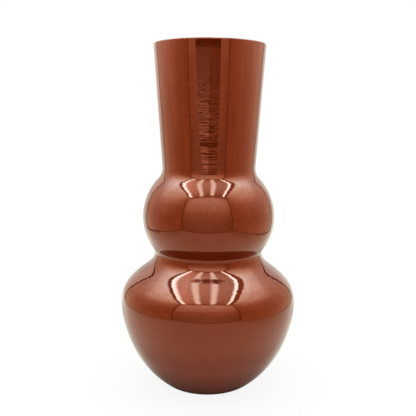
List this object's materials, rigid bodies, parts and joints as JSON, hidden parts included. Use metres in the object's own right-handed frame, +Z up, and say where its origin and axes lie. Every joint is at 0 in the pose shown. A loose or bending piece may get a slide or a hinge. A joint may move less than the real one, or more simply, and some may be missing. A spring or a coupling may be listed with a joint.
{
  "type": "double gourd vase",
  "caption": "Tall glazed double gourd vase: round lower bulb on a small flat foot, pinched waist, smaller upper bulb and a straight flared neck open at the top, for holding flowers.",
  "frame": {"origin": "on the surface the vase stands on, on the axis of the vase, in the middle of the foot ring", "axes": "+Z up along the axis of revolution to the mouth; -Y towards the viewer of the picture, +X to the viewer's right"},
  "size_m": [0.1446, 0.1446, 0.28],
  "materials": {
    "clay": "unglazed fired stoneware, matt",
    "slip": "fired luting slip, matt",
    "outer_glaze": "high gloss rust red-brown glaze",
    "inner_glaze": "gloss rust red-brown glaze"
  },
  "bodies": {
    "root": {"lower_bowl": "clay", "lower_shoulder": "clay", "upper_bowl": "clay", "upper_shoulder": "clay", "neck": "clay", "belly_slip": "slip", "waist_slip": "slip", "upper_belly_slip": "slip", "neck_slip": "slip", "outer_glaze": "outer_glaze", "inner_glaze": "inner_glaze"}
  },
  "joints": []
}
